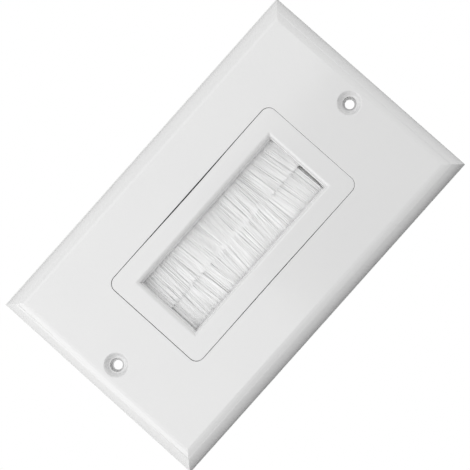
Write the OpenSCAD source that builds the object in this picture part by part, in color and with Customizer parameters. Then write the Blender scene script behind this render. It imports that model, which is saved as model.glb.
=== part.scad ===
// Cable pass-through wall plate: a decorator wall plate over a flush brush insert.
// The plate lies on the wall plane, its long side is +Z and its face looks along -Y.
// Each piece is drawn lying down, with z as its height above the wall, and upright() stands it up.

/* [Wall plate] */
// Width of the plate
plate_w = 69.85; // [60:0.05:90]
// Height of the plate
plate_h = 114.3; // [112:0.1:140]
// Height of the plate's face above the wall
plate_depth = 6; // [5.2:0.1:8]
// Thickness of the plate's moulded shell
plate_wall = 2; // [1.4:0.1:2.2]
// Straight edge that stands on the wall before the bevel starts
rim_h = 1.2; // [0.6:0.1:2]
// Width of the crowned bevel, seen from the front
bevel_w = 4.8; // [2.5:0.1:6]
// Radius of the bevel's crown
bevel_r = 5.3; // [5:0.1:20]
// Radius where the bevel runs into the face
shoulder_r = 1; // [0.2:0.1:1.5]

/* [Opening and seam] */
// Width of the plate's opening
opening_w = 33.5; // [32:0.1:38]
// Height of the plate's opening
opening_h = 66.9; // [64:0.1:74]
// Corner radius of the plate's opening
opening_r = 2.6; // [1:0.1:5]
// Gap between the plate and the insert, all round
seam_gap = 0.25; // [0.1:0.05:0.6]
// Thickness of the collar that stiffens the opening from behind
collar_t = 1.3; // [0.8:0.1:2]

/* [Stiffening ribs] */
// Thickness of the ribs on the plate's back
rib_t = 1; // [0.6:0.1:1.6]
// Depth of the ribs below the plate's inner face
rib_depth = 1.3; // [0.6:0.1:1.8]
// Distance from the plate's centre line to each long rib
rib_x = 24.5; // [20:0.5:28]

/* [Plate screw holes] */
// Distance between the two plate screws
plate_pitch = 96.8; // [94:0.1:99]
// Bore that the plate screw passes
hole_d = 3.9; // [3.6:0.1:5]
// Flat ledge at the bottom of the countersink
ledge_d = 4.9; // [4.6:0.1:6]
// Countersink at the face
sink_d = 6.9; // [6:0.1:9]
// Full angle of the countersink
sink_angle = 60; // [50:1:100]
// Boss round the hole, on the plate's back
boss_d = 9; // [7.5:0.1:12]

/* [Insert window] */
// Width of the frame round the window, from the seam to the window's lip
frame_w = 5.1; // [4.9:0.1:8]
// Thickness of the frame round the window
frame_t = 3.2; // [2.4:0.1:3.6]
// Radius of the window's lip
lip_r = 1.1; // [0.4:0.1:1.4]
// Draft of the window's wall
window_draft = 12; // [2:1:20]

/* [Insert housing] */
// Wall of the housing
housing_wall = 1.6; // [1.2:0.1:2.2]
// How far the housing reaches behind the wall plane
housing_back = 5; // [4.5:0.1:12]
// Thickness of the ribs that end the brush pocket
pocket_rib_t = 1.4; // [1:0.1:2]

/* [Mounting strap] */
// Thickness of the strap
strap_t = 1.8; // [1.2:0.1:2]
// Width of the strap
strap_w = 31; // [26:0.5:33]
// Length of the ears past the tapped holes
strap_end = 4.4; // [3:0.1:5.2]
// Corner radius of the strap's ears
strap_r = 5; // [2:0.5:8]
// Hole tapped for the plate screw
tapped_d = 2.7; // [2.4:0.05:3.2]
// Distance between the two box screws
box_pitch = 83.3; // [80:0.1:86]
// Width of the slot for a box screw
slot_w = 3.9; // [3.6:0.1:4.6]
// Length of the slot for a box screw
slot_len = 7.2; // [5:0.1:10]
// Thickness of the gussets behind the ears
gusset_t = 1.4; // [0.8:0.1:2]
// Reach of the gussets along the ears
gusset_reach = 3.2; // [2:0.1:4]

/* [Brush channels] */
// How far the channel's mouth stands back behind the window's wall
mouth_hide = 0.3; // [0.1:0.05:0.8]
// Height of the channel
channel_h = 4.6; // [4:0.1:4.8]
// Sheet thickness of the channel
channel_t = 0.5; // [0.3:0.05:0.6]
// How far the channel's flanges are pressed in at the mouth
crimp = 0.25; // [0:0.05:0.3]
// Wire that the filaments are folded round
core_d = 1.6; // [1.2:0.1:1.8]

/* [Filaments] */
// Thickness of a filament
filament_d = 0.36; // [0.2:0.02:0.42]
// Distance between the filaments of a row
filament_pitch = 0.7; // [0.6:0.05:1.2]
// How far every other row passes the middle, where the facing row stops short
tip_lap = 0.6; // [0:0.1:1.2]
// Gap between the tips of two facing rows
tip_gap = 0.2; // [0.1:0.05:0.6]
// How many filaments lean together in a tuft
tuft_count = 5; // [2:1:8]
// Share of the free space between filaments that a tuft closes at its tips
tuft_pull = 0.5; // [0:0.05:0.7]
// Sideways sweep of the left brush's upper tips
left_sweep = 1.1; // [-1.5:0.1:1.5]
// Sideways sweep of the right brush's upper tips
right_sweep = -1.3; // [-1.5:0.1:1.5]

/* [Rear retainer] */
// Thickness of the retainer
retainer_t = 2.4; // [1.8:0.1:2.6]
// Gap between the retainer and the housing
retainer_gap = 0.2; // [0.1:0.05:0.4]
// Width of retainer left outside a screw's counterbore
retainer_edge = 0.4; // [0.2:0.1:1]
// Shank of the retainer's screws
small_screw_d = 1.6; // [1.4:0.1:2]
// Head of the retainer's screws
small_head_d = 3.6; // [3:0.1:4]
// Height of those heads
small_head_h = 1.3; // [1:0.1:1.6]

/* [Hidden] */
$fn = 64;

// How far a cutter passes the face that it cuts
past = 1;
// Straight steps in an arc
arc_steps = 10;
// Least gap left where one piece stands in another
ease = 0.1;
// Play round a screw, in the hole and the counterbore that it passes
screw_play = 0.3;
// Radius that the shell's inner shoulder keeps at least
least_r = 0.1;

face_inner = plate_depth - plate_wall;
sink_depth = (sink_d - ledge_d) / 2 / tan(sink_angle / 2);

// Gap between the opening's collar and the strap, and from the collar to the cross ribs
collar_gap = 0.4;
rib_off_collar = 3;

insert_w = opening_w - 2 * seam_gap;
insert_h = opening_h - 2 * seam_gap;
insert_r = opening_r - seam_gap;
window_w = insert_w - 2 * frame_w;
window_h = insert_h - 2 * frame_w;
strap_len = plate_pitch + 2 * strap_end;
frame_back = plate_depth - frame_t;
pocket_w = insert_w - 2 * housing_wall;
pocket_h = insert_h - 2 * housing_wall;

// How far the window's wall runs inward, from the face to the back of the frame
lip_run = lip_r * cos(window_draft);
lip_drop = lip_r * (1 - sin(window_draft));
window_run = lip_run + (frame_t - lip_drop) * tan(window_draft);
clear_w = window_w - 2 * window_run;
clear_h = window_h - 2 * window_run;

// The retainer and its screws, which set how long the brushes can be
retainer_w = pocket_w - 2 * retainer_gap;
retainer_h = pocket_h - 2 * retainer_gap;
retainer_r = 0.5;
boss_wall = 1.3;
boss_off_wall = 1;
retainer_boss_d = small_screw_d + 2 * boss_wall;
counterbore_d = small_head_d + 2 * screw_play;
retainer_screw_x = pocket_w / 2 - retainer_boss_d / 2 - boss_off_wall;
retainer_screw_y = retainer_h / 2 - retainer_edge - counterbore_d / 2;
pocket_rib_y = retainer_screw_y - retainer_boss_d / 2 - ease;

// The brushes lie against the back of the window's frame
brush_len = 2 * (pocket_rib_y - ease);
channel_back = frame_back - channel_h;
brush_mid = frame_back - channel_h / 2;
mouth_x = clear_w / 2 + mouth_hide;
crimp_end = mouth_x + (pocket_w / 2 - mouth_x) / 3;
mouth_h = channel_h - 2 * (crimp + channel_t);
core_x = pocket_w / 2 - channel_t - ease - core_d / 2;
root_x = core_x - core_d / 2 - ease;

row_count = 4;
row_pitch = (mouth_h - filament_d - 2 * ease) / (row_count - 1);
filament_count = floor((brush_len - 2 * filament_pitch) / filament_pitch);
row_stagger = 2;
// Share of the brush's length, from its lower end, whose filaments aren't swept
sweep_from = 0.4;

counterbore = 1;
head_seat = channel_back - retainer_t + counterbore;
pilot_depth = 3.4;
recess_w = 0.5;
recess_len = 2.2;
recess_depth = 0.7;
// Shares of the full width that are left on top of a screw's head and at its point
head_share = 0.7;
point_share = 0.25;

white = [0.93, 0.93, 0.92];
off_white = [0.88, 0.88, 0.87];
nylon = [0.96, 0.96, 0.95];
zinc = [0.72, 0.73, 0.75];

// Points along an arc, from angle a0 to a1
function arc_points(cx, cy, r, a0, a1, steps = arc_steps) =
    [for (i = [0:steps]) let (a = a0 + (a1 - a0) * i / steps) [cx + r * cos(a), cy + r * sin(a)]];

// Mirrors a half outline in its first coordinate and closes it
function both_sides(half) =
    concat(half, [for (i = [len(half) - 1:-1:0]) [-half[i][0], half[i][1]]]);

// Points in reverse order, mirrored in their second coordinate
function flipped(points) =
    [for (i = [len(points) - 1:-1:0]) [points[i][0], -points[i][1]]];

// Right half of the plate's section, from the wall up to the face, moved in by an amount
function plate_half(w, inset) =
    let (
        top = plate_depth - inset,
        chord = norm([bevel_w, plate_depth - rim_h]),
        rise = (plate_depth - rim_h) / chord,
        run = bevel_w / chord,
        drop = sqrt(bevel_r * bevel_r - chord * chord / 4),
        cx = w / 2 - bevel_w / 2 - drop * rise,
        cz = (plate_depth + rim_h) / 2 - drop * run,
        r = bevel_r - inset,
        edge = w / 2 - inset,
        start = acos((edge - cx) / r),
        soft = max(shoulder_r - inset / 2, least_r),
        soft_z = top - soft,
        soft_x = cx + sqrt(pow(r - soft, 2) - pow(soft_z - cz, 2)),
        join = atan2(soft_z - cz, soft_x - cx)
    )
    concat(
        [[edge, -past], [edge, cz + r * sin(start)]],
        arc_points(cx, cz, r, start, join),
        arc_points(soft_x, soft_z, soft, join, 90)
    );

// Outline of a rectangle with round corners
function round_rect(w, h, r) =
    concat(
        arc_points(w / 2 - r, h / 2 - r, r, 0, 90),
        arc_points(r - w / 2, h / 2 - r, r, 90, 180),
        arc_points(r - w / 2, r - h / 2, r, 180, 270),
        arc_points(w / 2 - r, r - h / 2, r, 270, 360)
    );

// Right half of the window cutter's section, from behind the frame out past the face
function window_half(w) =
    concat(
        [[w / 2 - window_run, frame_back - past], [w / 2 - window_run, frame_back]],
        arc_points(w / 2, plate_depth - lip_r, lip_r, 180 - window_draft, 90),
        [[w / 2, plate_depth + past]]
    );

// Stands a piece up: its height above the wall becomes -Y and its own y becomes Z
module upright() {
    rotate([90, 0, 0]) children();
}

// Crosses two long prisms of one section, which gives a form with mitred corners
module mitred(along_x, along_y, w, h) {
    intersection() {
        rotate([90, 0, 0]) linear_extrude(height = h + 2 * past, center = true) polygon(along_x);
        rotate([90, 0, 90]) linear_extrude(height = w + 2 * past, center = true) polygon(along_y);
    }
}

module mirror_copies(x = true, y = true) {
    for (i = x ? [-1, 1] : [1], j = y ? [-1, 1] : [1])
        scale([i, j, 1]) children();
}

module block(w, h, r, z0, z1) {
    translate([0, 0, z0]) linear_extrude(height = z1 - z0) polygon(round_rect(w, h, r));
}

module box(x0, x1, y0, y1, z0, z1) {
    translate([x0, y0, z0]) cube([x1 - x0, y1 - y0, z1 - z0]);
}

module plate_form(inset) {
    along_x = both_sides(plate_half(plate_w, inset));
    along_y = both_sides(plate_half(plate_h, inset));
    mitred(along_x, along_y, plate_w, plate_h);
}

// One countersunk hole, drilled from the face to the end of its boss
module plate_hole() {
    translate([0, 0, strap_t - past])
        cylinder(h = plate_depth, d = hole_d);
    translate([0, 0, plate_depth - sink_depth])
        cylinder(h = sink_depth, d1 = ledge_d, d2 = sink_d);
    translate([0, 0, plate_depth])
        cylinder(h = past, d = sink_d);
}

module plate_ribs() {
    z0 = face_inner - rib_depth;
    z1 = face_inner + plate_wall / 2;
    rib_y = opening_h / 2 + collar_t + rib_off_collar;
    end_x = plate_w / 2 - plate_wall;
    end_y = plate_h / 2 - plate_wall;
    for (i = [-1, 1]) {
        box(i * rib_x - rib_t / 2, i * rib_x + rib_t / 2, -end_y, end_y, z0, z1);
        box(-end_x, end_x, i * rib_y - rib_t / 2, i * rib_y + rib_t / 2, z0, z1);
    }
}

module wall_plate() {
    color(white) upright() difference() {
        intersection() {
            union() {
                difference() {
                    plate_form(0);
                    plate_form(plate_wall);
                }
                block(opening_w + 2 * collar_t, opening_h + 2 * collar_t, opening_r + collar_t,
                    strap_t + collar_gap, face_inner + plate_wall / 2);
                plate_ribs();
                for (i = [-1, 1])
                    translate([0, i * plate_pitch / 2, strap_t])
                        cylinder(h = face_inner + plate_wall / 2 - strap_t, d = boss_d);
            }
            plate_form(0);
            box(-plate_w, plate_w, -plate_h, plate_h, 0, 2 * plate_depth);
        }
        block(opening_w, opening_h, opening_r, -past, plate_depth + past);
        for (i = [-1, 1])
            translate([0, i * plate_pitch / 2, 0]) plate_hole();
    }
}

// Frame with the drafted window, and the housing walls behind it
module insert_housing() {
    difference() {
        block(insert_w, insert_h, insert_r, -housing_back, plate_depth);
        box(-pocket_w / 2, pocket_w / 2, -pocket_h / 2, pocket_h / 2, -housing_back - past, frame_back);
        mitred(both_sides(window_half(window_w)), both_sides(window_half(window_h)), window_w, window_h);
    }
}

// Ribs that end the brush pocket, and the bosses that the retainer's screws bite into
module pocket_ribs() {
    top = frame_back + frame_t / 2;
    mirror_copies(x = false)
        box(-insert_w / 2 + housing_wall / 2, insert_w / 2 - housing_wall / 2,
            pocket_rib_y, pocket_rib_y + pocket_rib_t, channel_back, top);
    mirror_copies()
        translate([retainer_screw_x, retainer_screw_y, channel_back])
            difference() {
                cylinder(h = top - channel_back, d = retainer_boss_d);
                translate([0, 0, -past]) cylinder(h = pilot_depth + past, d = small_screw_d + ease);
            }
}

module slot() {
    straight = slot_len - slot_w;
    for (i = [-1, 1])
        translate([i * straight / 2, 0, -past]) cylinder(h = strap_t + 2 * past, d = slot_w);
    box(-straight / 2, straight / 2, -slot_w / 2, slot_w / 2, -past, strap_t + past);
}

module strap() {
    difference() {
        block(strap_w, strap_len, strap_r, 0, strap_t);
        box(-pocket_w / 2, pocket_w / 2, -pocket_h / 2, pocket_h / 2, -past, strap_t + past);
        for (i = [-1, 1]) {
            translate([0, i * plate_pitch / 2, -past]) cylinder(h = strap_t + 2 * past, d = tapped_d);
            translate([0, i * box_pitch / 2, 0]) slot();
        }
    }
}

// Triangular gussets between the housing's end walls and the back of the ears
module gussets() {
    foot = insert_h / 2 - housing_wall / 2;
    gusset_x = strap_w / 4;
    mirror_copies()
        translate([gusset_x + gusset_t / 2, 0, 0])
            rotate([90, 0, -90]) linear_extrude(height = gusset_t)
                polygon([
                    [-foot, strap_t / 2],
                    [-foot - gusset_reach, strap_t / 2],
                    [-foot - gusset_reach, 0],
                    [-foot, -housing_back + housing_wall / 2]
                ]);
}

module brush_insert() {
    color(white) upright() union() {
        insert_housing();
        pocket_ribs();
        strap();
        gussets();
    }
}

// Frame that closes the housing from behind and holds the brushes down
module rear_retainer() {
    back = channel_back - retainer_t;
    color(off_white) upright() difference() {
        block(retainer_w, retainer_h, retainer_r, back, channel_back);
        box(-clear_w / 2, clear_w / 2, -clear_h / 2, clear_h / 2, back - past, channel_back + past);
        mirror_copies()
            translate([retainer_screw_x, retainer_screw_y, 0]) {
                translate([0, 0, back - past])
                    cylinder(h = retainer_t + 2 * past, d = small_screw_d + 2 * screw_play);
                translate([0, 0, back - past])
                    cylinder(h = counterbore + past, d = counterbore_d);
            }
    }
}

// Pan-head screw, its head down and its tip up
module small_screw() {
    shank = pilot_depth - 2 * ease + channel_back - head_seat;
    tip = small_screw_d / 2;
    difference() {
        union() {
            translate([0, 0, -small_head_h])
                cylinder(h = small_head_h, d1 = small_head_d * head_share, d2 = small_head_d);
            translate([0, 0, -ease])
                cylinder(h = shank - tip + ease, d = small_screw_d);
            translate([0, 0, shank - tip])
                cylinder(h = tip, d1 = small_screw_d, d2 = small_screw_d * point_share);
        }
        for (a = [0, 90])
            rotate([0, 0, a])
                box(-recess_len / 2, recess_len / 2, -recess_w / 2, recess_w / 2,
                    -small_head_h - past, recess_depth - small_head_h);
    }
}

module retainer_screws() {
    color(zinc) upright() mirror_copies()
        translate([retainer_screw_x, retainer_screw_y, head_seat]) small_screw();
}

// Folded sheet channel of the brush on the +X side, open towards the middle
module brush_channel() {
    back = pocket_w / 2;
    half = channel_h / 2;
    outer = [
        [mouth_x, half - crimp],
        [crimp_end, half],
        [back - channel_t, half],
        [back, half - channel_t]
    ];
    inner = [
        [back - channel_t, half - 2 * channel_t],
        [back - 2 * channel_t, half - channel_t],
        [crimp_end, half - channel_t],
        [mouth_x, half - crimp - channel_t]
    ];
    section = concat(outer, flipped(outer), flipped(inner), inner);
    translate([0, 0, brush_mid]) rotate([90, 0, 0])
        linear_extrude(height = brush_len, center = true) polygon(section);
}

module core_wire() {
    translate([core_x, 0, brush_mid]) rotate([90, 0, 0])
        cylinder(h = brush_len, d = core_d, center = true);
}

// How far a filament's tip lies beside its root: the brush's sweep, and the pull of its tuft
function tip_shift(i, row, sweep) =
    let (
        place = i / (filament_count - 1),
        upper = max(0, sin(180 * (place - sweep_from) / (1 - sweep_from))),
        in_tuft = (i + row * row_stagger) % tuft_count,
        middle = (tuft_count - 1) / 2
    )
    sweep * upper * upper - (in_tuft - middle) * (filament_pitch - filament_d) * tuft_pull;

// One row of filaments of the brush on the +X side, which passes the middle by an amount
module filament_row(row, lap, sweep) {
    reach = root_x + lap - tip_gap / 2;
    height = brush_mid + ((row_count - 1) / 2 - row) * row_pitch;
    span = (filament_count - 1) * filament_pitch;
    for (i = [0:filament_count - 1]) {
        shift = tip_shift(i, row, sweep);
        translate([root_x, i * filament_pitch - span / 2, height])
            rotate([0, 0, -atan2(shift, reach)])
                rotate([0, -90, 0])
                    cylinder(h = norm([reach, shift]), d = filament_d);
    }
}

// The rows that face each other lap by turns: the left one lies over the middle in the front row
module left_filaments(row) {
    color(nylon) upright() scale([-1, 1, 1])
        filament_row(row, row % 2 == 0 ? tip_lap : -tip_lap, left_sweep);
}

module right_filaments(row) {
    color(nylon) upright() filament_row(row, row % 2 == 0 ? -tip_lap : tip_lap, right_sweep);
}

module left_brush_channel() {
    color(zinc) upright() scale([-1, 1, 1]) brush_channel();
}

module right_brush_channel() {
    color(zinc) upright() brush_channel();
}

module left_core_wire() {
    color(zinc) upright() scale([-1, 1, 1]) core_wire();
}

module right_core_wire() {
    color(zinc) upright() core_wire();
}

wall_plate();
brush_insert();
rear_retainer();
retainer_screws();
left_brush_channel();
right_brush_channel();
left_core_wire();
right_core_wire();
left_filaments(0);  // left_filaments_1
left_filaments(1);  // left_filaments_2
left_filaments(2);  // left_filaments_3
left_filaments(3);  // left_filaments_4
right_filaments(0);  // right_filaments_1
right_filaments(1);  // right_filaments_2
right_filaments(2);  // right_filaments_3
right_filaments(3);  // right_filaments_4
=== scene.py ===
# %% [markdown]
# # A white cable pass-through wall plate
# A wall plate covers the box in the wall, and its opening holds an insert whose window is closed by two
# brushes. The CAD model gives every rigid piece its true shape. Here the two mouldings get the small
# round edges that a mould leaves, the brushes get their thousands of nylon bristles, and every surface
# gets a material. We start by loading the CAD model as a fixed frame.

# %% Load the imported model
import math
import random

import bmesh
import bpy
from mathutils import Matrix, Vector


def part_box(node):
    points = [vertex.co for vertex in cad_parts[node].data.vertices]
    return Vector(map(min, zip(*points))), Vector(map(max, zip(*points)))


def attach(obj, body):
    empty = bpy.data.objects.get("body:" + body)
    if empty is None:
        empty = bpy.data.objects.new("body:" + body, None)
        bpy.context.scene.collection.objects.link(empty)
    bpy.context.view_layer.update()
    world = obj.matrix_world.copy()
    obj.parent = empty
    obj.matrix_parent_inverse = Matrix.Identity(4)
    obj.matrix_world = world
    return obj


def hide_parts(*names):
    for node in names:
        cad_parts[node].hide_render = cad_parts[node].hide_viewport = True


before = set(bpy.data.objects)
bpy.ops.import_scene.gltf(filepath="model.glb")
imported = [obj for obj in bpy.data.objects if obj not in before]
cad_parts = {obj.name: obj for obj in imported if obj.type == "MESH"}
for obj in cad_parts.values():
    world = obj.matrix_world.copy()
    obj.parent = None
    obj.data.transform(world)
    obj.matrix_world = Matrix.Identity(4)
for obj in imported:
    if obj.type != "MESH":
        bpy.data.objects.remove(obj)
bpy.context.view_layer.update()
MM = 0.001
print("CAD nodes:", ", ".join(sorted(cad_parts)))

# %% [markdown]
# ## The places that the later steps work from
# Nothing is measured by eye here. The plate's face, the window's clear opening and the space between
# the brush channels are read from the boxes of the CAD nodes, so the new pieces follow the model.

# %% Read the main places from the CAD boxes
plate_low, plate_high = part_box("wall_plate")
channel_low, channel_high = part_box("left_brush_channel")
wire_low, wire_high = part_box("left_core_wire")

FACE_Y = plate_low.y
BRUSH_Y = (channel_low.y + channel_high.y) / 2
MOUTH_X = -channel_high.x
ROOT_X = -wire_high.x
BRUSH_Z = channel_high.z
print(f"face at y {FACE_Y / MM:.2f}, brush middle at y {BRUSH_Y / MM:.2f}, mouths at x {MOUTH_X / MM:.2f} mm")

# %% [markdown]
# ## The camera
# The photograph looks almost straight at the face with a long lens: the plate's far edges shrink by less
# than one percent. The plate is turned by some forty degrees in the picture, which is a roll of the
# camera about its own axis. The tracking quaternion aims the camera, and the roll follows it.

# %% Set the camera
CAMERA_PLACE = Vector((47.70, -638.00, 16.94)) * MM
CAMERA_AIM = Vector((0.18, 0.0, 0.17)) * MM
CAMERA_ROLL = 41.65
LENS = 176.0
SENSOR = 36.0


def add_camera():
    data = bpy.data.cameras.new("photo_camera")
    data.lens = LENS
    data.sensor_width = SENSOR
    data.clip_start = 10 * MM
    data.clip_end = 20.0
    camera = bpy.data.objects.new("photo_camera", data)
    bpy.context.scene.collection.objects.link(camera)
    aim = (CAMERA_PLACE - CAMERA_AIM).to_track_quat("Z", "Y").to_matrix().to_4x4()
    roll = Matrix.Rotation(math.radians(CAMERA_ROLL), 4, "Z")
    camera.matrix_world = Matrix.Translation(CAMERA_PLACE) @ aim @ roll
    bpy.context.scene.camera = camera
    return camera


photo_camera = add_camera()
print(f"camera {(CAMERA_PLACE - CAMERA_AIM).length:.3f} m away, lens {LENS:.0f} mm")

# %% [markdown]
# ## White moulded plastic
# The plate and the insert are moulded in white plastic with a satin gloss. A flat colour would look
# like paper, so the colour drifts very slightly, the roughness varies a little as a polished mould
# leaves it, and a fine bump breaks the reflections. All patterns read Object coordinates, so they stay
# on the piece from every side.

# %% Helpers for node materials


def new_material(name):
    material = bpy.data.materials.new(name)
    material.use_nodes = True
    nodes = material.node_tree.nodes
    return material, nodes, material.node_tree.links, nodes["Principled BSDF"]


def object_noise(nodes, links, size, detail=2.0, stretch=(1.0, 1.0, 1.0)):
    """A noise texture on Object coordinates whose features are about `size` metres across."""
    place = nodes.new("ShaderNodeTexCoord")
    mapping = nodes.new("ShaderNodeMapping")
    mapping.inputs["Scale"].default_value = stretch
    texture = nodes.new("ShaderNodeTexNoise")
    texture.inputs["Scale"].default_value = 1.0 / size
    texture.inputs["Detail"].default_value = detail
    links.new(place.outputs["Object"], mapping.inputs["Vector"])
    links.new(mapping.outputs["Vector"], texture.inputs["Vector"])
    return texture.outputs["Fac"]


def ranged(nodes, links, source, low, high):
    """Spreads a 0 to 1 pattern over low to high."""
    spread = nodes.new("ShaderNodeMapRange")
    spread.inputs["From Min"].default_value = 0.3
    spread.inputs["From Max"].default_value = 0.7
    spread.inputs["To Min"].default_value = low
    spread.inputs["To Max"].default_value = high
    links.new(source, spread.inputs["Value"])
    return spread.outputs["Result"]


def tinted(nodes, links, source, dark, light):
    """Turns a 0 to 1 pattern into a drift between two colours."""
    ramp = nodes.new("ShaderNodeValToRGB")
    ramp.color_ramp.elements[0].position = 0.3
    ramp.color_ramp.elements[0].color = (*dark, 1.0)
    ramp.color_ramp.elements[1].position = 0.7
    ramp.color_ramp.elements[1].color = (*light, 1.0)
    links.new(source, ramp.inputs["Fac"])
    return ramp.outputs["Color"]


def bumped(nodes, links, source, depth, strength):
    bump = nodes.new("ShaderNodeBump")
    bump.inputs["Strength"].default_value = strength
    bump.inputs["Distance"].default_value = depth
    links.new(source, bump.inputs["Height"])
    return bump.outputs["Normal"]


# %% Make the moulded plastics
def moulded_plastic(name, dark, light, rough_low, rough_high):
    material, nodes, links, shader = new_material(name)
    cloud = object_noise(nodes, links, 18 * MM)
    grain = object_noise(nodes, links, 0.35 * MM, detail=3.0)
    links.new(tinted(nodes, links, cloud, dark, light), shader.inputs["Base Color"])
    links.new(ranged(nodes, links, cloud, rough_low, rough_high), shader.inputs["Roughness"])
    links.new(bumped(nodes, links, grain, 0.01 * MM, 0.25), shader.inputs["Normal"])
    shader.inputs["IOR"].default_value = 1.65
    return material


plate_plastic = moulded_plastic("plate_plastic_white", (0.80, 0.80, 0.80), (0.81, 0.81, 0.808), 0.07, 0.10)
insert_plastic = moulded_plastic("insert_plastic_white", (0.80, 0.80, 0.80), (0.81, 0.81, 0.808), 0.10, 0.14)
print("moulded plastics:", plate_plastic.name, insert_plastic.name)

# %% [markdown]
# ## The mouldings and their soft edges
# A moulded edge is never razor sharp: a radius of a tenth of a millimetre or two catches the light.
# The CAD mesh has the true form with sharp edges, so a copy of it is merged and bmesh bevels the edges
# where two faces meet at more than forty degrees. Edges shorter than the bevel stay as they are,
# because a bevel wider than its edge folds over itself.

# %% Copy a CAD piece and round its edges


def merged_copy(node):
    mesh = bmesh.new()
    mesh.from_mesh(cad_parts[node].data)
    bmesh.ops.remove_doubles(mesh, verts=mesh.verts, dist=0.001 * MM)
    return mesh


def sharp_edges(mesh, angle, shortest):
    """Edges that fold by more than an angle and are long enough to take a bevel."""
    return [
        edge
        for edge in mesh.edges
        if len(edge.link_faces) == 2
        and edge.calc_face_angle(0.0) > math.radians(angle)
        and edge.calc_length() > shortest
    ]


def finished(name, mesh, material, slot, *nodes, crease=35):
    """Puts a bmesh into the scene as a piece that rides on the root body. The slot argument is not used."""
    data = bpy.data.meshes.new(name)
    mesh.to_mesh(data)
    mesh.free()
    data.shade_smooth()
    data.set_sharp_from_angle(angle=math.radians(crease))
    data.materials.append(material)
    piece = bpy.data.objects.new(name, data)
    bpy.context.scene.collection.objects.link(piece)
    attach(piece, "root")
    if nodes:
        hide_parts(*nodes)
    print(f"{name}: {len(data.polygons)} faces")
    return piece


EDGE_RADIUS = 0.12 * MM
FRAME_X, FRAME_Z, FRAME_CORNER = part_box("brush_insert")[1].x, 33.2 * MM, 2.35 * MM
LEFT_SINK, RIGHT_SINK = 0.21 * MM, 0.10 * MM
SINK_HALF = 27 * MM
SINK_CUTS = 9

# How far the insert's frame fills its play in the opening, on the left, right, top and bottom
LEFT_FILL, RIGHT_FILL, TOP_FILL, BOTTOM_FILL = 0.11 * MM, 0.13 * MM, 0.18 * MM, 0.10 * MM
FILL_RUN = 2 * MM


def sink_long_sides(mesh, outer_x):
    """Draws the long outer walls in towards their middle, as a moulding sinks when it cools."""
    for cut in range(SINK_CUTS):
        height = SINK_HALF * (2 * cut / (SINK_CUTS - 1) - 1)
        everything = list(mesh.verts) + list(mesh.edges) + list(mesh.faces)
        bmesh.ops.bisect_plane(
            mesh, geom=everything, dist=0.001 * MM, plane_co=(0.0, 0.0, height), plane_no=(0.0, 0.0, 1.0),
        )
    for vert in mesh.verts:
        if abs(vert.co.x) > outer_x - 2 * EDGE_RADIUS and abs(vert.co.z) < SINK_HALF:
            deepest = LEFT_SINK if vert.co.x < 0 else RIGHT_SINK
            depth = deepest * math.cos(math.pi / 2 * vert.co.z / SINK_HALF) ** 2
            vert.co.x -= math.copysign(depth, vert.co.x)


def fill_opening(mesh, reach):
    """Moves the frame's outer walls out by their fill, fading to nothing a little further in."""
    for vert in mesh.verts:
        if abs(vert.co.z) < reach:
            share_x = min(1.0, max(0.0, 1 - (FRAME_X - abs(vert.co.x)) / FILL_RUN))
            share_z = min(1.0, max(0.0, 1 - (FRAME_Z - abs(vert.co.z)) / FILL_RUN))
            vert.co.x += share_x * (RIGHT_FILL if vert.co.x > 0 else -LEFT_FILL)
            vert.co.z += share_z * (TOP_FILL if vert.co.z > 0 else -BOTTOM_FILL)


def crease_mitres(piece, corner_x, corner_z):
    """Marks the edges on the corners' mitre lines sharp, so the two sides' shading stays apart."""
    places = [vertex.co for vertex in piece.data.vertices]
    for edge in piece.data.edges:
        ends = [places[index] for index in edge.vertices]
        off_line = [abs((corner_x - abs(end.x)) - (corner_z - abs(end.z))) for end in ends]
        if max(off_line) < 0.01 * MM:
            edge.use_edge_sharp = True


def moulded(name, node, material, slot, sinks=False):
    mesh = merged_copy(node)
    edges = sharp_edges(mesh, 40, 2.5 * EDGE_RADIUS)
    bmesh.ops.bevel(
        mesh, geom=edges, offset=EDGE_RADIUS, offset_type="OFFSET", segments=2, profile=0.5,
        affect="EDGES", clamp_overlap=False, material=-1,
    )
    if sinks:
        sink_long_sides(mesh, FRAME_X)
        fill_opening(mesh, FRAME_Z + 0.01 * MM)
    piece = finished(name, mesh, material, slot, node)
    flatten = piece.modifiers.new("flat faces stay flat", "WEIGHTED_NORMAL")
    flatten.keep_sharp = True
    flatten.weight = 50
    return piece


plate_moulding = moulded("plate_moulding", "wall_plate", plate_plastic, "plate_plastic")
insert_moulding = moulded("insert_moulding", "brush_insert", insert_plastic, "insert_plastic", sinks=True)
retainer_moulding = moulded("retainer_moulding", "rear_retainer", insert_plastic, "insert_plastic")
crease_mitres(plate_moulding, plate_high.x, plate_high.z)
crease_mitres(insert_moulding, FRAME_X, FRAME_Z)

# %% [markdown]
# ## Painted shade behind the seam
# The seam round the insert is a dark line in the photograph, though white light stands behind the plate.
# So a thin black sheet closes the seam from behind, between the plate's collar and the strap: it is painted
# shade that stands in for the shadow in the seam, not a part. It follows the insert's round corners, and the CAD
# model has no node for it.

# %% Cut the sheet of painted seam shade
SHADE_SHEET_FRONT, SHADE_SHEET_BACK = -2.15 * MM, -1.85 * MM
SHADE_SHEET_WIDTH = 1.4 * MM
SHADE_SHEET_PLAY = 0.03 * MM
CORNER_STEPS = 6


def round_outline(half_x, half_z, radius):
    """Points (x, z) of a rectangle with round corners, from the upper right corner on."""
    points = []
    for turn, (sx, sz) in enumerate(((1, 1), (-1, 1), (-1, -1), (1, -1))):
        for step in range(CORNER_STEPS + 1):
            angle = math.radians(90 * (turn + step / CORNER_STEPS))
            x = sx * (half_x - radius) + radius * math.cos(angle)
            points.append((x, sz * (half_z - radius) + radius * math.sin(angle)))
    return points


# Near-black colour with a faint mottle: painted shade for the sheet behind the seam.
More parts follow.
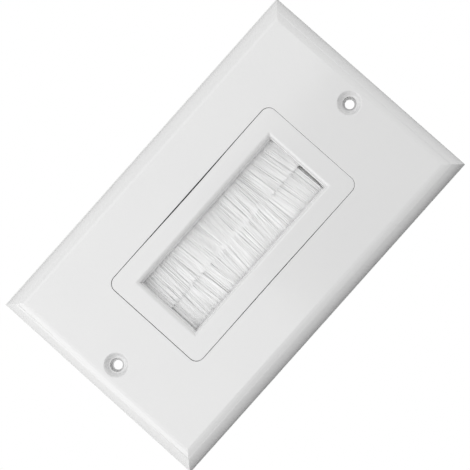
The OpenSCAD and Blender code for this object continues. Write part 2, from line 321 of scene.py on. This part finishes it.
def seam_shade_paint():
    material, nodes, links, shader = new_material("seam_painted_shade")
    shade_mottle = object_noise(nodes, links, 0.3 * MM, detail=3.0)
    links.new(tinted(nodes, links, shade_mottle, (0.012, 0.012, 0.012), (0.03, 0.03, 0.03)), shader.inputs["Base Color"])
    links.new(ranged(nodes, links, shade_mottle, 0.85, 0.95), shader.inputs["Roughness"])
    links.new(bumped(nodes, links, shade_mottle, 0.05 * MM, 0.6), shader.inputs["Normal"])
    return material


# A thin black sheet of painted shade behind the seam, following the seam's outline.
def seam_shade_sheet():
    inner = round_outline(FRAME_X + SHADE_SHEET_PLAY, FRAME_Z + SHADE_SHEET_PLAY, FRAME_CORNER)
    outer = round_outline(FRAME_X + SHADE_SHEET_WIDTH, FRAME_Z + SHADE_SHEET_WIDTH, FRAME_CORNER + SHADE_SHEET_WIDTH)
    mesh = bmesh.new()
    rings = [
        [mesh.verts.new((x, y, z)) for x, z in outline]
        for outline, y in ((inner, SHADE_SHEET_FRONT), (outer, SHADE_SHEET_FRONT), (outer, SHADE_SHEET_BACK), (inner, SHADE_SHEET_BACK))
    ]
    count = len(inner)
    for ring, following in zip(rings, rings[1:] + rings[:1]):
        for i in range(count):
            j = (i + 1) % count
            mesh.faces.new((ring[i], ring[j], following[j], following[i]))
    bmesh.ops.recalc_face_normals(mesh, faces=mesh.faces)
    sink_long_sides(mesh, FRAME_X)
    fill_opening(mesh, math.inf)
    return finished("seam_shade_sheet", mesh, seam_shade_paint(), None)


# Put the sheet of painted shade behind the seam.
painted_seam_shade = seam_shade_sheet()

# %% [markdown]
# ## Metal that the brushes hide
# The channels are folded from zinc-plated sheet, the core wires are drawn steel and the four screws are
# bright zinc. Their CAD shapes are right, so they stay, and only get a finish: a brushed grain along the
# sheet, fine lines along the wire, and the faint clouds of plating.

# %% Make the metals and put them on their nodes


def plated_metal(name, dark, light, rough_low, rough_high, stretch):
    material, nodes, links, shader = new_material(name)
    grain = object_noise(nodes, links, 0.4 * MM, detail=3.0, stretch=stretch)
    cloud = object_noise(nodes, links, 4 * MM)
    links.new(tinted(nodes, links, cloud, dark, light), shader.inputs["Base Color"])
    links.new(ranged(nodes, links, grain, rough_low, rough_high), shader.inputs["Roughness"])
    links.new(bumped(nodes, links, grain, 0.01 * MM, 0.3), shader.inputs["Normal"])
    shader.inputs["Metallic"].default_value = 1.0
    return material


ALONG_Z = (1.0, 1.0, 0.05)
channel_zinc = plated_metal("channel_zinc_sheet", (0.42, 0.43, 0.45), (0.52, 0.53, 0.55), 0.30, 0.45, ALONG_Z)
wire_steel = plated_metal("core_wire_steel", (0.38, 0.39, 0.41), (0.46, 0.47, 0.49), 0.25, 0.35, ALONG_Z)
screw_zinc = plated_metal("screw_bright_zinc", (0.50, 0.51, 0.53), (0.60, 0.61, 0.63), 0.18, 0.28, (1.0, 1.0, 1.0))


def dress(node, material):
    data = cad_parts[node].data
    data.materials.clear()
    data.materials.append(material)


for side in ("left", "right"):
    dress(f"{side}_brush_channel", channel_zinc)
    dress(f"{side}_core_wire", wire_steel)
dress("retainer_screws", screw_zinc)

# %% [markdown]
# ## Nylon bristles
# Each brush is a few thousand bristles a fifth of a millimetre thick. They are milky white nylon with a
# soft sheen on their grazing sides, which keeps the gaps between them from going dark.

# %% Make the nylon


def bristle_nylon():
    material, nodes, links, shader = new_material("bristle_nylon")
    streak = object_noise(nodes, links, 0.8 * MM, detail=3.0, stretch=(0.12, 1.0, 1.0))
    links.new(tinted(nodes, links, streak, (0.97, 0.97, 0.97), (0.99, 0.99, 0.99)), shader.inputs["Base Color"])
    shader.inputs["Roughness"].default_value = 0.35
    shader.inputs["IOR"].default_value = 1.53
    shader.inputs["Sheen Weight"].default_value = 0.6
    shader.inputs["Sheen Roughness"].default_value = 0.5
    return material


nylon = bristle_nylon()

# %% [markdown]
# ## How a brush lies
# The bristles stand in twelve or so layers where they leave the channel, and fan out a little towards
# their tips. They don't run straight across: along the brush they sweep up or down by a few degrees,
# which the photograph shows well, and they lean together in small wisps with thin gaps between. The
# sweep is a short list of heights and angles for each brush, read between by a smooth step.

# %% Describe the lay of the bristles
BRISTLE_RADIUS = 0.105 * MM
BRISTLE_PITCH = 0.17 * MM
LAYER_COUNT = 16
LAYERS_PER_NODE = 4
MOUTH_HALF = 1.2 * MM
TIP_HALF = 1.6 * MM
DEEP_CALM = 0.8

# Past the channel's ends the deep bristles fan out to the window's end walls
END_FAN = 3.0
END_SPREAD = 0.35 * MM
POINTS = 8

# Height along the brush in mm, and the angle by which the bristles rise towards the middle
LEFT_SWEEP = [(-27, 1), (-20, -1), (-14, 4), (-6, 2), (0, -3), (4, 0), (9, -2), (13, 6), (20, 8), (27, 5)]
RIGHT_SWEEP = [
    (-27, 0), (-21, 2), (-16, -4), (-11, -5), (-5, 6), (2, 2), (8, 6), (12, 0), (18, -9), (23, -6), (27, 0),
]

# Height along the brush in mm, and how far the left brush's front lies over the right one, in mm
LEFT_OVER = [(-27, 0.5), (-14, 0.4), (-10, 0.0), (10, 0.0), (14, 0.4), (27, 0.5)]


def between(stops, z):
    """Reads a list of (height in mm, value) stops at a height in metres."""
    z_mm = z / MM
    if z_mm <= stops[0][0]:
        return stops[0][1]
    for (z0, v0), (z1, v1) in zip(stops, stops[1:]):
        if z_mm <= z1:
            t = (z_mm - z0) / (z1 - z0)
            return v0 + (v1 - v0) * t * t * (3 - 2 * t)
    return stops[-1][1]


# %% Gather the bristles into wisps


def wisps(rng, length, shortest, longest):
    """Cuts a brush's length into wisps: (middle, half width, lean in degrees, lift in metres)."""
    found = []
    z = -length / 2
    while z < length / 2:
        width = rng.uniform(shortest, longest)
        found.append((z + width / 2, width / 2, rng.gauss(0, 0.9), rng.gauss(0, 0.04) * MM))
        z += width
    return found


def wisp_at(found, z):
    for wisp in found:
        if z <= wisp[0] + wisp[1]:
            return wisp
    return found[-1]


# %% Build one layer group of a brush as a bundle of thin tubes
def bristle_path(rng, side, z, depth, wisp, tip_x):
    """Points of one bristle, from the core wire to its tip. depth runs from 0 at the front to 1."""
    middle, half_width, lean, lift = wisp
    sweep = LEFT_SWEEP if side < 0 else RIGHT_SWEEP
    fan = END_FAN * depth * math.copysign((z / BRUSH_Z) ** 6, z)
    angle = between(sweep, z) * (1 - DEEP_CALM * depth) + fan + lean + rng.gauss(0, 0.5)
    over = between(LEFT_OVER, z) * (0.5 if side < 0 else -0.5) * MM
    run = ROOT_X + tip_x
    rise = math.tan(math.radians(angle)) * run
    gather = (middle - z) * rng.uniform(0.0, 0.3)
    root_y = BRUSH_Y + (2 * depth - 1) * MOUTH_HALF
    tip_y = BRUSH_Y + (2 * depth - 1) * TIP_HALF - over - lift
    bow = rng.gauss(0, 0.08) * MM
    points = []
    for i in range(POINTS):
        t = i / (POINTS - 1)
        ease = t * t * (3 - 2 * t)
        x = side * (ROOT_X - run * t)
        y = root_y + (tip_y - root_y) * math.sin(math.pi / 2 * t) + bow * math.sin(math.pi * t)
        height = z + rise * t + gather * ease
        end = BRUSH_Z + END_SPREAD * ease
        points.append(Vector((x, y, max(-end, min(end, height)))))
    return points


def brush_curve(name, side, layers, rng):
    curve = bpy.data.curves.new(name, "CURVE")
    curve.dimensions = "3D"
    curve.bevel_depth = BRISTLE_RADIUS
    curve.bevel_resolution = 0
    curve.use_fill_caps = True
    count = int(2 * (BRUSH_Z - BRISTLE_PITCH) / BRISTLE_PITCH)
    for layer in layers:
        found = wisps(rng, 2 * BRUSH_Z, 0.3 * MM, 1.2 * MM)
        for i in range(count):
            z = -BRUSH_Z + BRISTLE_PITCH * (i + 0.5 + rng.uniform(-0.35, 0.35))
            depth = (layer + rng.uniform(0.1, 0.9)) / LAYER_COUNT
            tip_x = rng.gauss(0.55, 0.22) * MM
            spline = curve.splines.new("POLY")
            spline.points.add(POINTS - 1)
            path = bristle_path(rng, side, z, depth, wisp_at(found, z), tip_x)
            for point, place in zip(spline.points, path):
                point.co = (*place, 1.0)
    return curve


def bristle_layer(name, side, layers, rng, node):
    curve = brush_curve(name + "_curve", side, layers, rng)
    holder = bpy.data.objects.new(name + "_curve", curve)
    bpy.context.scene.collection.objects.link(holder)
    bpy.context.view_layer.update()
    mesh = bmesh.new()
    mesh.from_mesh(holder.to_mesh())
    bpy.data.objects.remove(holder)
    bmesh.ops.remove_doubles(mesh, verts=mesh.verts, dist=0.001 * MM)
    return finished(name, mesh, nylon, "brush_nylon", node, crease=80)


# %% Make both brushes
for side, word in ((-1, "left"), (1, "right")):
    rng = random.Random(f"{word} brush")
    for group in range(LAYER_COUNT // LAYERS_PER_NODE):
        first = group * LAYERS_PER_NODE
        bristle_layer(
            f"{word}_bristles_{group + 1}", side, range(first, first + LAYERS_PER_NODE), rng,
            f"{word}_filaments_{group + 1}",
        )

# %% [markdown]
# ## The studio
# The photograph has a pure white ground with no shadow on it, so the world is white to the camera and
# in reflections, and the floor lies well below the plate, out of the picture. Soft boxes light the
# object: the big one stands to the left and below, and the right side stays a little darker.

# %% Lay the floor
FLOOR_Z = -0.9
FLOOR_SIZE = 3.0
FADE_FROM, FADE_TO = 0.5, 1.4
EDGE_GLOW = 0.3


def floor_paint():
    """White paint that fades into the white background towards the floor's edge, for the camera only."""
    material, nodes, links, shader = new_material("studio_floor_white")
    shader.inputs["Base Color"].default_value = (0.86, 0.86, 0.86, 1.0)
    shader.inputs["Roughness"].default_value = 0.8
    place = nodes.new("ShaderNodeTexCoord")
    flat = nodes.new("ShaderNodeVectorMath")
    flat.operation = "MULTIPLY"
    flat.inputs[1].default_value = (1.0, 1.0, 0.0)
    reach = nodes.new("ShaderNodeVectorMath")
    reach.operation = "LENGTH"
    fade = nodes.new("ShaderNodeMapRange")
    fade.interpolation_type = "SMOOTHSTEP"
    fade.inputs["From Min"].default_value = FADE_FROM
    fade.inputs["From Max"].default_value = FADE_TO
    fade.inputs["To Max"].default_value = EDGE_GLOW
    path = nodes.new("ShaderNodeLightPath")
    seen = nodes.new("ShaderNodeMath")
    seen.operation = "MULTIPLY"
    links.new(place.outputs["Object"], flat.inputs[0])
    links.new(flat.outputs["Vector"], reach.inputs[0])
    links.new(reach.outputs["Value"], fade.inputs["Value"])
    links.new(fade.outputs["Result"], seen.inputs[0])
    links.new(path.outputs["Is Camera Ray"], seen.inputs[1])
    links.new(seen.outputs["Value"], shader.inputs["Emission Strength"])
    shader.inputs["Emission Color"].default_value = (1.0, 1.0, 1.0, 1.0)
    return material


def add_floor():
    mesh = bmesh.new()
    bmesh.ops.create_grid(mesh, x_segments=1, y_segments=1, size=FLOOR_SIZE / 2)
    bmesh.ops.translate(mesh, verts=mesh.verts, vec=(0.0, 0.0, FLOOR_Z))
    data = bpy.data.meshes.new("studio_floor")
    mesh.to_mesh(data)
    mesh.free()
    floor = bpy.data.objects.new("studio_floor", data)
    bpy.context.scene.collection.objects.link(floor)
    data.materials.append(floor_paint())
    return floor


add_floor()

# %% Light the object


def add_world():
    world = bpy.data.worlds.new("studio_world")
    bpy.context.scene.world = world
    world.use_nodes = True
    nodes, links = world.node_tree.nodes, world.node_tree.links
    background = nodes["Background"]
    path = nodes.new("ShaderNodeLightPath")
    seen = nodes.new("ShaderNodeMath")
    seen.operation = "MAXIMUM"
    links.new(path.outputs["Is Camera Ray"], seen.inputs[0])
    links.new(path.outputs["Is Transmission Ray"], seen.inputs[1])
    also = nodes.new("ShaderNodeMath")
    also.operation = "MAXIMUM"
    links.new(seen.outputs["Value"], also.inputs[0])
    links.new(path.outputs["Is Glossy Ray"], also.inputs[1])
    shade = nodes.new("ShaderNodeMix")
    shade.data_type = "FLOAT"
    shade.inputs["A"].default_value = WORLD_AMBIENT
    shade.inputs["B"].default_value = 1.0
    links.new(also.outputs["Value"], shade.inputs["Factor"])
    links.new(shade.outputs["Result"], background.inputs["Strength"])
    background.inputs["Color"].default_value = (1.0, 1.0, 1.0, 1.0)


def add_softbox(name, place, size, power):
    data = bpy.data.lights.new(name, "AREA")
    data.shape = "SQUARE"
    data.size = size
    data.energy = power
    lamp = bpy.data.objects.new(name, data)
    lamp.location = place
    lamp.rotation_euler = Vector(place).to_track_quat("Z", "Y").to_euler()
    bpy.context.scene.collection.objects.link(lamp)
    return lamp


WORLD_AMBIENT = 0.79
add_world()
add_softbox("low_softbox", (0.0, -0.35, -0.45), 0.45, 0.95)
add_softbox("near_left_softbox", (-0.45, -0.35, -0.1), 0.45, 0.48)
add_softbox("top_softbox", (0.0, -0.2, 1.2), 0.7, 1.9)
add_softbox("back_softbox", (-0.6, 1.1, 0.5), 0.7, 3.0)

# %% [markdown]
# ## The dark card
# The plate's gloss shows where the room behind the camera was dark: the upper right of the face is a
# little greyer, with a soft border. A dark card beside the camera gives the same reflection. Only
# glossy rays see it, so it takes no light away from anything.

# %% Stand the dark card beside the camera
def card_paint(name, grey):
    material, nodes, links, shader = new_material(name)
    shader.inputs["Base Color"].default_value = (grey, grey, grey, 1.0)
    shader.inputs["Roughness"].default_value = 0.9
    return material


card_black = card_paint("card_black", 0.02)
card_grey = card_paint("card_grey", 0.11)


def card_corners(low, high):
    """Corners of a card, flat when both heights are the same and else upright."""
    (x0, y0, z0), (x1, y1, z1) = low, high
    if z0 == z1:
        return ((x0, y0, z0), (x1, y0, z0), (x1, y1, z0), (x0, y1, z0))
    return ((x0, y0, z0), (x1, y1, z0), (x1, y1, z1), (x0, y0, z1))


def add_card(name, low, high, material, dims_ambient=False):
    mesh = bmesh.new()
    mesh.faces.new([mesh.verts.new(corner) for corner in card_corners(low, high)])
    data = bpy.data.meshes.new(name)
    mesh.to_mesh(data)
    mesh.free()
    data.materials.append(material)
    card = bpy.data.objects.new(name, data)
    bpy.context.scene.collection.objects.link(card)
    card.visible_camera = False
    card.visible_diffuse = dims_ambient
    card.visible_transmission = False
    card.visible_shadow = False
    return card


add_card("camera_card", (-0.069, -0.65, -0.021), (0.26, -0.65, 0.24), card_black)
add_card("right_front_card", (0.09, -0.66, -0.6), (1.0, -0.66, 0.6), card_black)
add_card("top_front_card", (-0.6, -0.67, 0.16), (1.0, -0.67, 0.6), card_black)
add_card("left_card", (-0.30, -0.45, -0.6), (-0.30, 0.30, 0.6), card_black)
add_card("top_card", (-0.6, -0.45, 0.35), (0.6, 0.60, 0.35), card_black)
add_card("right_card", (0.30, -0.20, -0.6), (0.30, 0.60, 0.6), card_grey, dims_ambient=True)

# %% [markdown]
# ## Finish
# The colours are shown with the Standard view transform.

# %% Set the view transform and finish
bpy.context.scene.view_settings.view_transform = "Standard"
bpy.context.view_layer.update()
